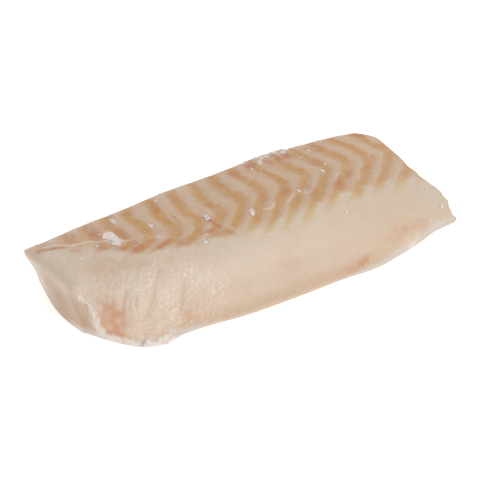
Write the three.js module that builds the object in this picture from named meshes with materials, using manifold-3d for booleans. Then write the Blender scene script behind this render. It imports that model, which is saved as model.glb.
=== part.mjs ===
// Raw cod loin fillet, skinned and frozen, lying with its skinned side up.
// Millimetres. +X runs along the fillet to its thin end, +Y points to the straight back cut, +Z is up.
// The fillet is one solid: shallow V bands and creases are relief in it, and the frost is joined to it.

import * as THREE from 'three'
import { ParametricGeometry } from 'three/addons/geometries/ParametricGeometry.js'
import { mergeVertices } from 'three/addons/utils/BufferGeometryUtils.js'
import Module from 'manifold-3d'

const wasm = await Module()
wasm.setup()

// Driving dimensions
const LEFT = -103
const RIGHT = 107
const CREST_HEIGHT = 30

// Each table lists [place along X, size]
const NEAR_EDGE = [[-103, -12], [-95, -31], [-85, -37.5], [-67, -37], [-25, -40.5],
  [35, -41.5], [60, -42.3], [75, -39.5], [90, -33.8], [107, -31.5]]
const FAR_EDGE = [[-103, 39.5], [-65, 38.7], [-15, 40], [15, 41], [40, 41.2], [75, 42.5], [107, 42]]
const CREST = [[-103, 28], [-85, 29.5], [-55, 30], [-5, 30.5], [35, 29.5], [65, 26], [87, 20.5], [107, 14.5]]
const BACK_CUT = [[-103, 22], [-65, 24], [-25, 25.5], [15, 26], [55, 25], [85, 21.5], [107, 19.5]]
const SHOULDER = [[-103, -7], [-85, -8], [-55, -9], [-5, -10], [45, -9], [75, -5], [107, 2]]

// The two end cuts: each table lists [place along Y, X of the cut]
const LEFT_CUT_TOP = [[-20, -102], [8, -104], [38, -107]]
const LEFT_CUT_BASE = [[-36, -89.8], [-22, -95.6], [-10, -99.2], [8, -102.3], [38, -99.3]]
const RIGHT_CUT = [[-40, 97], [-36, 105.5], [-28, 107], [-18, 107], [-6, 103.5],
  [24, 100.8], [33, 98], [41, 89]]
const LEFT_LEAN_HEIGHT = 26
const RIGHT_LEAN = 1.5
const RIGHT_LEAN_HEIGHT = 12
// Rounding of the left cut's edge along its top: [place along Y, size]. It shrinks towards the foot
const LEFT_ROUNDING = [[-36, 1.5], [-18, 3], [-8, 5.5], [10, 6], [26, 4.5], [38, 2.5]]
const LEAST_ROUNDING = 1
const ROUNDING_HEIGHT = 16
const RIGHT_ROUNDING = 1.5
const RAGGED_EDGE = 0.9
const RAGGED_BELOW = 14

// Muscle bands: V shapes whose points lie to the right, about 13 mm apart and slowly wider that way
const BAND_PITCH = 13.2
const BAND_STRETCH = 0.12
const BAND_START = 0.3
const BAND_RELIEF = 0.45
const BAND_FADE = 8
const POINT_ROUNDING = 4
// Each table lists [place along X, size]: Y of the points, how steeply each arm falls back from them,
// how it curls further on (the far arm forwards, the near arm back), and the lower limit of the
// banded side, which narrows to the back cut at the left end
const POINT_LINE = [[-60, 11], [-40, 7], [-10, 7], [15, 10], [40, 12.5], [70, 16.5], [100, 21]]
const FAR_ARM = [[-45, 0.28], [12, 0.3], [55, 0.5], [85, 0.7]]
const FAR_CURL = [[-45, 0.0148], [12, 0.0118], [55, 0.0065], [85, 0.002]]
const NEAR_ARM = [[-55, 0.3], [-40, 0.32], [-24, 0.65], [0, 0.88], [27, 1.06], [45, 1.12], [60, 1.1]]
const NEAR_CURL = [[-55, 0.09], [-40, 0.07], [-24, 0.034], [0, 0.013], [27, 0.006], [60, 0.001]]
const BAND_LIMIT = [[-103, 28], [-80, 11], [-68, -3], [-45, -10], [-15, -15.5], [25, -17],
  [50, -14.5], [75, -12.5], [100, -6]]

// Gentle unevenness of the whole skin: [size, waves per mm along X, along Y, start]
const SWELLS = [[0.35, 0.05, 0.11, 0], [0.25, 0.13, -0.09, 2]]

// Each crease on the near side runs from [x, y] to [x, y]
const CREASES = [[[-60, -17], [-74, -31]], [[-80, -20], [-87, -28]], [[-51, -25], [-57, -32]]]
const CREASE_DEPTH = 0.7
const CREASE_WIDTH = 1.6

// Frost crumbs on the top: [x, y, length, width, height, turn in degrees]
const CRUMBS = [
  [-68.6, 18.1, 7, 6.6, 1.6, 80], [-67.6, 13.1, 4.5, 4.5, 1.6, 0], [-68.8, 9.6, 5, 5, 1.5, 20],
  [-65.6, 10.3, 2.5, 2, 1.2, 40], [-60.5, 29.3, 6.5, 2, 1.2, 95], [-77.4, 13.4, 3, 1.4, 0.9, 45],
  [-48, 13, 4, 1.8, 1.1, -65], [-51.8, -8.8, 4.2, 1.2, 0.8, -5], [-49.2, 3.4, 2.5, 1.5, 0.7, 60],
  [-21.7, 4.3, 4.2, 3.3, 1.3, 80], [-28.2, -7.4, 2.2, 1.4, 0.8, -30], [-31.4, -11.6, 3.2, 2.2, 1.1, 75],
  [-0.5, -4.2, 4.8, 3, 1.3, 58], [29.2, -0.4, 2.8, 2.4, 1.2, 20], [31.4, -3.2, 3, 1.6, 0.8, 100],
  [27, 33.2, 4.2, 3, 1.2, 60], [33.2, 36.8, 3.5, 2.2, 1.3, 20], [43, 36.6, 4, 3, 1.5, 30],
  [39, 38, 3, 2, 1.4, 0], [50.3, 10.5, 3.2, 2.4, 1.1, -20], [56.1, 16.9, 2.1, 1.5, 0.9, -20],
  [54.8, 4.2, 2.6, 1.6, 0.8, 30], [47.8, 27.5, 3, 1.2, 0.9, 50], [43.7, -21.6, 2.2, 1.8, 0.8, 60],
  [85.9, -26.6, 2.2, 1.4, 0.8, 30], [101.5, -24, 3, 2, 1.1, 30], [-88.6, 8.3, 3.6, 1.6, 0.9, -10]]
const CRUMB_SUNK = 0.35

// Ice ridge down the near left corner and along the foot beside it
const ICE_RIDGE = [[-99.6, -10.3, 22.7], [-96.7, -14.5, 17], [-95.6, -16.2, 13], [-94.8, -16.8, 9.5],
  [-93, -17.8, 6], [-90.5, -21.5, 3.6], [-87.5, -27.3, 3.2], [-82, -33, 3]]
const ICE_LUMPS = 16
const ICE_SIZE = 3.4

// Mesh steps
const RINGS_ALONG = 84
const RINGS_ROUNDING = 4
const RINGS_CAP = 4
const STEPS_AROUND = [2, 1, 3, 4, 4, 4, 4, 5, 5, 1, 2, 2, 1, 2, 2, 2]

const clamp = (value, low, high) => Math.min(Math.max(value, low), high)
const smooth = (value) => THREE.MathUtils.smoothstep(value, 0, 1)

// Smooth curve through the pairs of a table, held level past both ends
function sizeAt(table, place) {
  const last = table.length - 1
  const at = clamp(place, table[0][0], table[last][0])
  let i = 0
  while (i < last - 1 && at > table[i + 1][0]) i += 1
  const slope = (k) => (table[k + 1][1] - table[k][1]) / (table[k + 1][0] - table[k][0])
  const gap = (k) => table[k + 1][0] - table[k][0]
  const tangent = (k) => {
    if (k === 0) return slope(0)
    if (k === last) return slope(last - 1)
    return (slope(k - 1) * gap(k) + slope(k) * gap(k - 1)) / (gap(k - 1) + gap(k))
  }
  const t = (at - table[i][0]) / gap(i)
  const start = (2 * t ** 3 - 3 * t ** 2 + 1) * table[i][1] + (t ** 3 - 2 * t ** 2 + t) * gap(i) * tangent(i)
  const end = (3 * t ** 2 - 2 * t ** 3) * table[i + 1][1] + (t ** 3 - t ** 2) * gap(i) * tangent(i + 1)
  return start + end
}

// Sizes of the cross-section at one place along X
function sectionSizes(place) {
  return {
    near: sizeAt(NEAR_EDGE, place),
    far: sizeAt(FAR_EDGE, place),
    crest: sizeAt(CREST, place),
    back: sizeAt(BACK_CUT, place),
    shoulder: sizeAt(SHOULDER, place) }
}

// Closed outline of the cross-section, from the near foot over the top to the back cut and home below
function sectionCurve({ near, far, crest, back, shoulder }) {
  const side = shoulder - near
  const thin = Math.min(crest / CREST_HEIGHT, 1)
  const outline = [
    [near + 2, 0],
    [near, 1.5 * Math.sqrt(thin)],
    [near + 1.2, 3.6 * thin],
    [near + 0.13 * side, 0.33 * crest],
    [near + 0.36 * side, 0.67 * crest],
    [near + 0.66 * side, 0.9 * crest],
    [shoulder, 0.99 * crest],
    [0.3 * far + 0.7 * shoulder, crest],
    [0.66 * far + 0.34 * shoulder, 0.55 * crest + 0.45 * back + 0.8],
    [far - 2, back + 0.3],
    [far - 0.2, back - 1.5],
    [far + 0.4, 0.5 * back],
    [far - 0.6, 2],
    [far - 2.6, 0],
    [0.6 * far + 0.4 * near, 0],
    [0.3 * far + 0.7 * near, 0]]
  const points = outline.map(([y, z]) => new THREE.Vector3(0, y, z))
  return new THREE.CatmullRomCurve3(points, true, 'centripetal')
}

// Place of each mesh step on the closed section curve, from 0 to 1
const stepsOnCurve = STEPS_AROUND.flatMap((count, part) =>
  Array.from({ length: count }, (_, step) => (part + step / count) / STEPS_AROUND.length))

// X of the left cut: it leans inwards towards the foot of the near corner
function leftCut(y, z) {
  const up = smooth(z / LEFT_LEAN_HEIGHT)
  return sizeAt(LEFT_CUT_TOP, y) * up + sizeAt(LEFT_CUT_BASE, y) * (1 - up)
}

// Rounding of the left cut's edge at one place
function leftRounding(y, z) {
  return LEAST_ROUNDING + (sizeAt(LEFT_ROUNDING, y) - LEAST_ROUNDING) * smooth(z / ROUNDING_HEIGHT)
}

// X of the right cut: it leans back a little towards its foot
function rightCut(y, z) {
  return sizeAt(RIGHT_CUT, y) - RIGHT_LEAN * (1 - clamp(z / RIGHT_LEAN_HEIGHT, 0, 1))
}

// Number of the muscle band at one place: whole in the groove between two bands
function bandNumber(x, y) {
  const past = y - sizeAt(POINT_LINE, x)
  const reach = Math.hypot(past, POINT_ROUNDING) - POINT_ROUNDING
  const far = sizeAt(FAR_ARM, x) * reach - sizeAt(FAR_CURL, x) * reach ** 2
  const near = sizeAt(NEAR_ARM, x) * reach + sizeAt(NEAR_CURL, x) * reach ** 2
  const point = x + (past > 0 ? far : near) - BAND_START
  return (Math.sqrt(BAND_PITCH ** 2 + 4 * BAND_STRETCH * point) - BAND_PITCH) / (2 * BAND_STRETCH)
}

// Depth of the creases at one place
function creaseDepth(x, y) {
  const here = new THREE.Vector3(x, y, 0)
  const depths = CREASES.map(([from, to]) => {
    const line = new THREE.Line3(new THREE.Vector3(...from, 0), new THREE.Vector3(...to, 0))
    const off = line.closestPointToPoint(here, true, new THREE.Vector3()).distanceTo(here)
    return CREASE_DEPTH * Math.exp(-((off / CREASE_WIDTH) ** 2))
  })
  return Math.max(...depths)
}

// Height of the skin over the plain shape, along its normal. The bands fade out at the back cut
function relief(x, y, z, section) {
  const onTop = smooth((z - 0.6 * section.crest) / (0.25 * section.crest))
  const fromLimit = smooth((y - sizeAt(BAND_LIMIT, x)) / BAND_FADE)
  const fromBack = 1 - 0.8 * smooth((y - section.far) / BAND_FADE + 1.2)
  const bands = -BAND_RELIEF * Math.cos(2 * Math.PI * bandNumber(x, y)) * onTop * fromLimit * fromBack
  const swells = SWELLS.map(([size, alongX, alongY, start]) =>
    size * Math.sin(alongX * x + alongY * y + start))
  const crease = y < section.shoulder ? creaseDepth(x, y) : 0
  const aboveFoot = smooth(z / 4)
  return (bands + swells[0] + swells[1] - crease) * aboveFoot
}

// One closed ring of surface points. along runs from 0 to 1. inset pulls the ring in from its outline and
// shift moves it along X, both in shares of the edge's rounding. scale shrinks it to the middle of a cut
function ring(along, inset, shift, scale) {
  const section = sectionSizes(LEFT + along * (RIGHT - LEFT))
  const curve = sectionCurve(section)
  const flat = stepsOnCurve.map((t) => curve.getPoint(t))
  flat.forEach((point) => { point.z = Math.max(point.z, 0) })
  const box = new THREE.Box3().setFromPoints(flat)
  const middle = box.getCenter(new THREE.Vector3())
  const half = box.getSize(new THREE.Vector3()).multiplyScalar(0.5)
  return flat.map((point, i) => {
    const atLeft = leftRounding(point.y, point.z)
    const rounding = along < 0.5 ? atLeft : RIGHT_ROUNDING
    const pulled = inset * rounding
    const y = middle.y + (point.y - middle.y) * Math.max(1 - pulled / half.y, 0.1) * scale
    const z = middle.z + (point.z - middle.z) * Math.max(1 - pulled / half.z, 0.1) * scale
    const left = leftCut(y, z) + atLeft
    const right = rightCut(y, z) - RIGHT_ROUNDING
    const thinEdge = clamp(1 - z / RAGGED_BELOW, 0, 1) * (along * scale) ** 8
    const ragged = RAGGED_EDGE * (Math.sin(0.83 * y + 1) + 0.6 * Math.sin(1.37 * y))
    const x = left + along * (right - left) + shift * rounding + ragged * thinEdge
    const tangent = curve.getTangent(stepsOnCurve[i])
    const height = relief(x, y, z, section) * scale
    return new THREE.Vector3(x, y - tangent.z * height, Math.max(z + tangent.y * height, 0))
  })
}

// All rings from the middle of the left cut to the middle of the right cut
function allRings() {
  const rings = []
  const turn = (k) => (k / RINGS_ROUNDING) * (Math.PI / 2)
  for (let k = 0; k < RINGS_CAP; k += 1) {
    rings.push(ring(0, 1, -1, k / RINGS_CAP))
  }
  for (let k = RINGS_ROUNDING; k > 0; k -= 1) {
    rings.push(ring(0, 1 - Math.cos(turn(k)), -Math.sin(turn(k)), 1))
  }
  for (let k = 0; k < RINGS_ALONG; k += 1) {
    rings.push(ring(k / (RINGS_ALONG - 1), 0, 0, 1))
  }
  for (let k = 1; k <= RINGS_ROUNDING; k += 1) {
    rings.push(ring(1, 1 - Math.cos(turn(k)), Math.sin(turn(k)), 1))
  }
  for (let k = RINGS_CAP - 1; k >= 0; k -= 1) {
    rings.push(ring(1, 1, 1, k / RINGS_CAP))
  }
  return rings
}

// The fillet's skin as a grid of rings, closed around and at both ends, taken from right to left
// so that its faces point out
function filletGeometry() {
  const rings = allRings()
  const around = stepsOnCurve.length
  const surface = (u, v, target) => {
    const row = rings[Math.round((1 - v) * (rings.length - 1))]
    target.copy(row[Math.round(u * around) % around])
  }
  return new ParametricGeometry(surface, around, rings.length - 1)
}

// Shared vertices merged and triangles without area dropped, as a solid for joining
function toSolid(geometry) {
  const bare = new THREE.BufferGeometry()
  bare.setAttribute('position', geometry.getAttribute('position').clone())
  if (geometry.index) bare.setIndex(geometry.index.clone())
  const merged = mergeVertices(bare, 1e-4)
  const index = []
  for (let i = 0; i < merged.index.count; i += 3) {
    const [a, b, c] = [0, 1, 2].map((k) => merged.index.getX(i + k))
    if (a !== b && b !== c && c !== a) index.push(a, b, c)
  }
  const mesh = new wasm.Mesh({
    numProp: 3,
    vertProperties: new Float32Array(merged.getAttribute('position').array),
    triVerts: new Uint32Array(index) })
  return new wasm.Manifold(mesh)
}

function toGeometry(solid) {
  const mesh = solid.getMesh()
  const geometry = new THREE.BufferGeometry()
  geometry.setAttribute('position', new THREE.BufferAttribute(mesh.vertProperties, 3))
  geometry.setIndex(new THREE.BufferAttribute(mesh.triVerts, 1))
  geometry.computeVertexNormals()
  return geometry
}

// Repeatable draw between 0 and 1
const random = (seed) => THREE.MathUtils.seededRandom(seed)

// One lump of frost: an uneven stone of few faces
function lump(centre, size, turn, seed) {
  const faceted = new THREE.IcosahedronGeometry(0.5, 0).deleteAttribute('normal').deleteAttribute('uv')
  const stone = mergeVertices(faceted)
  const corners = stone.getAttribute('position')
  for (let i = 0; i < corners.count; i += 1) {
    const grow = 0.8 + 0.4 * random(seed + i * 7)
    corners.setXYZ(i, corners.getX(i) * grow, corners.getY(i) * grow, corners.getZ(i) * grow)
  }
  stone.scale(size[0], size[1], size[2])
  stone.rotateZ(THREE.MathUtils.degToRad(turn))
  stone.translate(centre.x, centre.y, centre.z)
  return stone
}

function crumbGeometries(fillet) {
  const caster = new THREE.Raycaster()
  const down = new THREE.Vector3(0, 0, -1)
  const target = new THREE.Mesh(fillet)
  return CRUMBS.map(([x, y, length, width, height, turn], i) => {
    caster.set(new THREE.Vector3(x, y, 2 * CREST_HEIGHT), down)
    const landed = caster.intersectObject(target)[0].point
    landed.z += height * (0.5 - CRUMB_SUNK)
    return lump(landed, [length, width, 1.3 * height], turn, 100 * i)
  })
}

// The corner of the fillet's mesh that lies nearest to a place
function nearestCorner(fillet, place) {
  const corners = fillet.getAttribute('position')
  const nearest = new THREE.Vector3(Infinity, 0, 0)
  for (let i = 0; i < corners.count; i += 1) {
    const corner = new THREE.Vector3().fromBufferAttribute(corners, i)
    if (corner.distanceTo(place) < nearest.distanceTo(place)) nearest.copy(corner)
  }
  return nearest
}

function iceGeometries(fillet) {
  const route = new THREE.CatmullRomCurve3(ICE_RIDGE.map((point) => new THREE.Vector3(...point)))
  return Array.from({ length: ICE_LUMPS }, (_, i) => {
    const centre = nearestCorner(fillet, route.getPointAt(i / (ICE_LUMPS - 1)))
    const size = ICE_SIZE * (0.8 + 0.5 * random(40 + 9 * i))
    centre.z = Math.max(centre.z, 0.62 * size)
    return lump(centre, [1.3 * size, size, size], 360 * random(41 + 9 * i), 5000 + 60 * i)
  })
}

const fillet = filletGeometry()
const frost = [...crumbGeometries(fillet), ...iceGeometries(fillet)].map(toSolid)
const joined = frost.reduce((whole, piece) => whole.add(piece), toSolid(fillet))

const geometry = toGeometry(joined)
geometry.computeBoundingBox()
const middle = geometry.boundingBox.getCenter(new THREE.Vector3())
geometry.translate(-middle.x, -middle.y, -geometry.boundingBox.min.z)

const flesh = new THREE.MeshStandardMaterial({ color: 0xd6c5ae, roughness: 0.45, metalness: 0 })
const cod = new THREE.Mesh(geometry, flesh)
cod.name = 'cod_fillet'

const model = new THREE.Group()
model.add(cod)

export default model
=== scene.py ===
# %% [markdown]
# # A raw cod loin
# The object is one thick piece cut from the back of a cod: skinned, raw and still frozen. It lies with
# its skinned side up, so tan V bands of muscle show on top and pale flesh on the side that faces us.
# The lesson works in three layers. First comes one fine surface for the flesh, worked out from a few
# sizes and raised where a crust of ice lies on it. Then masks on that surface say where the tan, pink and
# orange stains lie. Last comes the frost, made of small uneven shards set on the surface.

# %% The fixed frame
import math
import bpy
import numpy as np
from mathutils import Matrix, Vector


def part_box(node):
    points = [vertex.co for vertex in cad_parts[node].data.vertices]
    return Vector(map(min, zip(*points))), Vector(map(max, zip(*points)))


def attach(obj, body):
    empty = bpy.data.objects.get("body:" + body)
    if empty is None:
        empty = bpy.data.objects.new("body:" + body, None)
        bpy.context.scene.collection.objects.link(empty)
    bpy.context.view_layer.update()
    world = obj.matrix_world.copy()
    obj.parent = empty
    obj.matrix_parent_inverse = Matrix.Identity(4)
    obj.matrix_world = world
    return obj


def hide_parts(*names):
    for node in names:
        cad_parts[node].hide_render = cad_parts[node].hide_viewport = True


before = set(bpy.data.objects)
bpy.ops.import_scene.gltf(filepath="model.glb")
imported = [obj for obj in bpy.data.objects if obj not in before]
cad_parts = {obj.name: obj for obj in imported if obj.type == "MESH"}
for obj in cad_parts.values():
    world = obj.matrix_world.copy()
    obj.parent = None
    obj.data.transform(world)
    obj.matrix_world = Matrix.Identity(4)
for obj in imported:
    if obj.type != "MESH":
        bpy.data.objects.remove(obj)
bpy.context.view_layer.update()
cod_low, cod_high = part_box("cod_fillet")
MM = 0.001
print("solid fillet, mm:", [round((b - a) / MM, 1) for a, b in zip(cod_low, cod_high)])

# %% [markdown]
# ## Sizes of the fillet
# A real loin is cut straight down the back, so its far side is a steep plain cut. Its near side slopes
# out to a thin foot, its left end is a square cut, and its right end thins to an edge. Tables of a few
# measured sizes along the piece say all of that. They are in millimetres, as the solid's are.

# %% Size tables
LEFT, RIGHT = -103, 107
CREST_HEIGHT = 30
NEAR_EDGE = [(-103, -12), (-95, -31), (-85, -37.5), (-67, -37), (-25, -40.5),
             (35, -41.5), (60, -42.3), (75, -39.5), (90, -33.8), (107, -31.5)]
FAR_EDGE = [(-103, 39.5), (-65, 38.7), (-15, 40), (15, 41), (40, 41.2), (75, 42.5), (107, 42)]
CREST = [(-103, 28), (-85, 29.5), (-55, 30), (-5, 30.5), (35, 29.5), (65, 26), (87, 20.5), (107, 14.5)]
BACK_CUT = [(-103, 22), (-65, 24), (-25, 25.5), (15, 26), (55, 25), (85, 21.5), (107, 19.5)]
SHOULDER = [(-103, -7), (-85, -8), (-55, -9), (-5, -10), (45, -9), (75, -5), (107, 2)]
LEFT_CUT_TOP = [(-20, -102), (8, -104), (38, -107)]
LEFT_CUT_BASE = [(-36, -89.8), (-22, -95.6), (-10, -99.2), (8, -102.3), (38, -99.3)]
RIGHT_CUT = [(-40, 97), (-36, 105.5), (-28, 107), (-18, 107), (-6, 103.5),
             (24, 100.8), (33, 98), (41, 89)]
LEFT_ROUNDING = [(-36, 1.5), (-18, 3), (-8, 5.5), (10, 6), (26, 4.5), (38, 2.5)]
LEAST_ROUNDING, RIGHT_ROUNDING = 1, 1.5


def size_at(table, place):
    """Smooth curve through the table: cubic pieces whose slope at each entry is the mean of the slopes to
    both neighbours, with more weight on the nearer one."""
    at = np.array([pair[0] for pair in table], float)
    size = np.array([pair[1] for pair in table], float)
    gap = np.diff(at)
    slope = np.diff(size) / gap
    inner = (slope[:-1] * gap[1:] + slope[1:] * gap[:-1]) / (gap[:-1] + gap[1:])
    tangent = np.concatenate([slope[:1], inner, slope[-1:]])
    place = np.clip(place, at[0], at[-1])
    i = np.clip(np.searchsorted(at, place, "right") - 1, 0, len(gap) - 1)
    t = (place - at[i]) / gap[i]
    start = (2 * t**3 - 3 * t**2 + 1) * size[i] + (t**3 - 2 * t**2 + t) * gap[i] * tangent[i]
    end = (3 * t**2 - 2 * t**3) * size[i + 1] + (t**3 - t**2) * gap[i] * tangent[i + 1]
    return start + end


def smooth(value):
    """Rises from 0 to 1 as the value does, with level ends: 3v squared minus 2v cubed."""
    v = np.clip(value, 0, 1)
    return v * v * (3 - 2 * v)


def rise(value, start, over):
    """0 up to the start, then a smooth rise to 1 over the given distance."""
    return smooth((value - start) / over)


def fall(value, end, over):
    """1 at first, then a smooth fall over the given distance to 0 at the end."""
    return smooth((end - value) / over)


print("crest at the middle, mm:", round(float(size_at(CREST, 0)), 1))

# %% [markdown]
# ## The cross-section
# Sixteen points round one slice give the foot, the sloping side, the low crown, the back cut and the
# flat base. A closed centripetal spline runs through them. It is chosen because it never loops at the
# close points of the thin foot.

# %% One slice
STEPS_AROUND = [4, 4, 8, 16, 22, 24, 22, 36, 38, 6, 6, 12, 4, 4, 5, 5]


def slice_points(place):
    """Sixteen corner points of each slice, worked out from the tables' sizes at its place."""
    near, far = size_at(NEAR_EDGE, place), size_at(FAR_EDGE, place)
    crest, back = size_at(CREST, place), size_at(BACK_CUT, place)
    shoulder = size_at(SHOULDER, place)
    side = shoulder - near
    thin = np.minimum(crest / CREST_HEIGHT, 1)
    level = np.zeros_like(near)
    points = [
        (near + 2, level),
        (near, 1.5 * np.sqrt(thin)),
        (near + 1.2, 3.6 * thin),
        (near + 0.13 * side, 0.33 * crest),
        (near + 0.36 * side, 0.67 * crest),
        (near + 0.66 * side, 0.9 * crest),
        (shoulder, 0.99 * crest),
        (0.3 * far + 0.7 * shoulder, crest),
        (0.66 * far + 0.34 * shoulder, 0.55 * crest + 0.45 * back + 0.8),
        (far - 2, back + 0.3),
        (far - 0.2, back - 1.5),
        (far + 0.4, 0.5 * back),
        (far - 0.6, level + 2),
        (far - 2.6, level),
        (0.6 * far + 0.4 * near, level),
        (0.3 * far + 0.7 * near, level)]
    return np.stack([np.stack(point, -1) for point in points], -2)


def closed_spline(points, counts):
    """Centripetal Catmull-Rom spline: each stretch is a cubic whose end slopes come from its neighbours,
    weighed by the square roots of the distances between the points. Returns places and directions."""
    before, after, next_after = (np.roll(points, k, -2) for k in (1, -1, -2))

    def reach(a, b):
        return np.sqrt(np.maximum(np.linalg.norm(b - a, axis=-1, keepdims=True), 1e-4))

    d0, d1, d2 = reach(before, points), reach(points, after), reach(after, next_after)
    leave = ((points - before) / d0 - (after - before) / (d0 + d1) + (after - points) / d1) * d1
    arrive = ((after - points) / d1 - (next_after - points) / (d1 + d2) + (next_after - after) / d2) * d1
    part = np.repeat(np.arange(len(counts)), counts)
    t = np.concatenate([np.arange(count) / count for count in counts])[:, None]
    a, b, m, n = (values[..., part, :] for values in (points, after, leave, arrive))
    cubic, square = 2 * a - 2 * b + m + n, 3 * b - 3 * a - 2 * m - n
    return ((cubic * t + square) * t + m) * t + a, (3 * cubic * t + 2 * square) * t + m


print("steps round one slice:", sum(STEPS_AROUND))

# %% [markdown]
# ## Muscle bands
# A fish's muscle is stacked in blocks that show on the skinned side as V bands, with thin sheets of
# tissue between them. The bands could be drawn by hand. A counting function is used instead, because
# one number per point then gives the groove, the tan colour and the fine lines all in the same place.

# %% Band count
BAND_PITCH, BAND_STRETCH, BAND_START = 13.2, 0.12, 0.3
BAND_RELIEF, BAND_FADE, POINT_ROUNDING = 0.45, 8, 4
POINT_LINE = [(-60, 11), (-40, 7), (-10, 7), (15, 10), (40, 12.5), (70, 16.5), (100, 21)]
FAR_ARM = [(-45, 0.28), (12, 0.30), (55, 0.5), (85, 0.7)]
FAR_CURL = [(-45, 0.0148), (12, 0.0118), (55, 0.0065), (85, 0.002)]
NEAR_ARM = [(-55, 0.3), (-40, 0.32), (-24, 0.65), (0, 0.88), (27, 1.06), (45, 1.12), (60, 1.1)]
NEAR_CURL = [(-55, 0.09), (-40, 0.07), (-24, 0.034), (0, 0.013), (27, 0.006), (60, 0.001)]
BAND_LIMIT = [(-103, 28), (-80, 11), (-68, -3), (-45, -10), (-15, -15.5), (25, -17),
              (50, -14.5), (75, -12.5), (100, -6)]


def band_number(x, y):
    """Distance along X from the first band's point, plus how far this place lies behind that point on
    its arm, turned into a count with a pitch that grows slowly to the right."""
    past = y - size_at(POINT_LINE, x)
    reach = np.hypot(past, POINT_ROUNDING) - POINT_ROUNDING
    far_arm = size_at(FAR_ARM, x) * reach - size_at(FAR_CURL, x) * reach**2
    near_arm = size_at(NEAR_ARM, x) * reach + size_at(NEAR_CURL, x) * reach**2
    point = x + np.where(past > 0, far_arm, near_arm) - BAND_START
    return (np.sqrt(BAND_PITCH**2 + 4 * BAND_STRETCH * point) - BAND_PITCH) / (2 * BAND_STRETCH)


print("bands over the fillet:", round(float(band_number(RIGHT, 16.0) - band_number(LEFT, 6.0)), 1))

# %% Creases, swells and uneven fields
SWELLS = [(0.35, 0.05, 0.11, 0), (0.25, 0.13, -0.09, 2)]
CREASES = [((-60, -17), (-74, -31)), ((-80, -20), (-87, -28)), ((-51, -25), (-57, -32))]
FINE_CREASES = [((-79.8, -23.3), (-82, -26.2)), ((-77, -24), (-78.5, -27))]
CREASE_DEPTH, CREASE_WIDTH = 0.7, 1.6
LUMP, LUMP_HEIGHT, LUMP_REACH = (-94.5, -17.5), 1.6, 2.2


def distance(x, y, start, end):
    """Distance in the plan from each place to a straight stretch between two ends."""
    (x0, y0), (x1, y1) = start, end
    run, up = x1 - x0, y1 - y0
    t = np.clip(((x - x0) * run + (y - y0) * up) / (run**2 + up**2), 0, 1)
    return np.hypot(x - x0 - t * run, y - y0 - t * up)


def near_lines(x, y, lines, size, width):
    """The strongest of the lines at each place: each one falls off as a bell with the distance to it."""
    return np.max([size * np.exp(-(distance(x, y, *line) / width) ** 2) for line in lines], 0)


def waves(point, length, seed, stretch=(1, 1, 1), count=18):
    """Uneven field, mostly between -1 and 1: many sine waves in drawn directions, each about one length
    long, summed. Stretch lengthens the pattern along X, Y or Z."""
    draw = np.random.default_rng(seed)
    way = draw.normal(size=(count, 3))
    way /= np.linalg.norm(way, axis=1, keepdims=True) * length * draw.uniform(0.7, 1.5, (count, 1))
    start = draw.uniform(0, 2 * math.pi, count)
    scaled = point / np.array(stretch, float)
    return np.sin(scaled @ way.T * 2 * math.pi + start).sum(-1) / math.sqrt(count / 2)


print("creases:", len(CREASES), "broad and", len(FINE_CREASES), "fine")

# %% [markdown]
# ## The flesh as one fine surface
# The flesh is a stack of slices from the middle of one end cut to the middle of the other, so its two
# end faces, its rounded edges and its sides are one grid. Both middles close to a single point. A
# sculpted mesh could look as good, but the formula keeps every mark where the photograph has it.

# %% Flesh surface
RINGS_ALONG, RINGS_ROUNDING, RINGS_CAP = 404, 10, 14
RAGGED_EDGE, RAGGED_BELOW = 0.9, 14
FIBRE_RELIEF, FIBRE_LENGTH, GRAIN_RELIEF, GRAIN_LENGTH = 0.08, 2.4, 0.05, 1.8
LINE_RELIEF, LINES_PER_BAND = 0.04, 5
SMOOTHER_FROM, SMOOTHER_OVER = -62, 34
LEFT_CUT_RISE, ROUNDING_HEIGHT, FOOT_FADE = 26, 16, 4
RIGHT_LEAN, RIGHT_LEAN_HEIGHT = 1.5, 12


def ring_plan():
    """Four numbers for each ring: its place along the fillet from 0 to 1, how far it is pulled in and
    how far it is moved along X, both in shares of the rounding, and its scale, which closes each cut."""
    turn = np.linspace(0, math.pi / 2, RINGS_ROUNDING + 1)[1:]
    close = np.linspace(1, 0, RINGS_CAP + 1)[1:-1]
    cut = [(1 - np.cos(a), np.sin(a), 1) for a in turn] + [(1, 1, k) for k in close]
    left = [(0, inset, -shift, scale) for inset, shift, scale in cut[::-1]]
    body = [(u, 0, 0, 1) for u in np.linspace(0, 1, RINGS_ALONG)]
    right = [(1, inset, shift, scale) for inset, shift, scale in cut]
    return np.array(left + body + right, float)


def left_cut(y, z):
    """X of the left cut: the top line's place high up, blending to the base line's at the foot."""
    up = rise(z, 0, LEFT_CUT_RISE)
    return size_at(LEFT_CUT_TOP, y) * up + size_at(LEFT_CUT_BASE, y) * (1 - up)


def left_rounding(y, z):
    """Rounding of the edge of the left cut: little at the foot, the table's size along the top."""
    return LEAST_ROUNDING + (size_at(LEFT_ROUNDING, y) - LEAST_ROUNDING) * rise(z, 0, ROUNDING_HEIGHT)


def right_cut(y, z):
    """X of the right cut: the table's place, leaning back a little towards the foot."""
    return size_at(RIGHT_CUT, y) - RIGHT_LEAN * (1 - np.clip(z / RIGHT_LEAN_HEIGHT, 0, 1))


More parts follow.
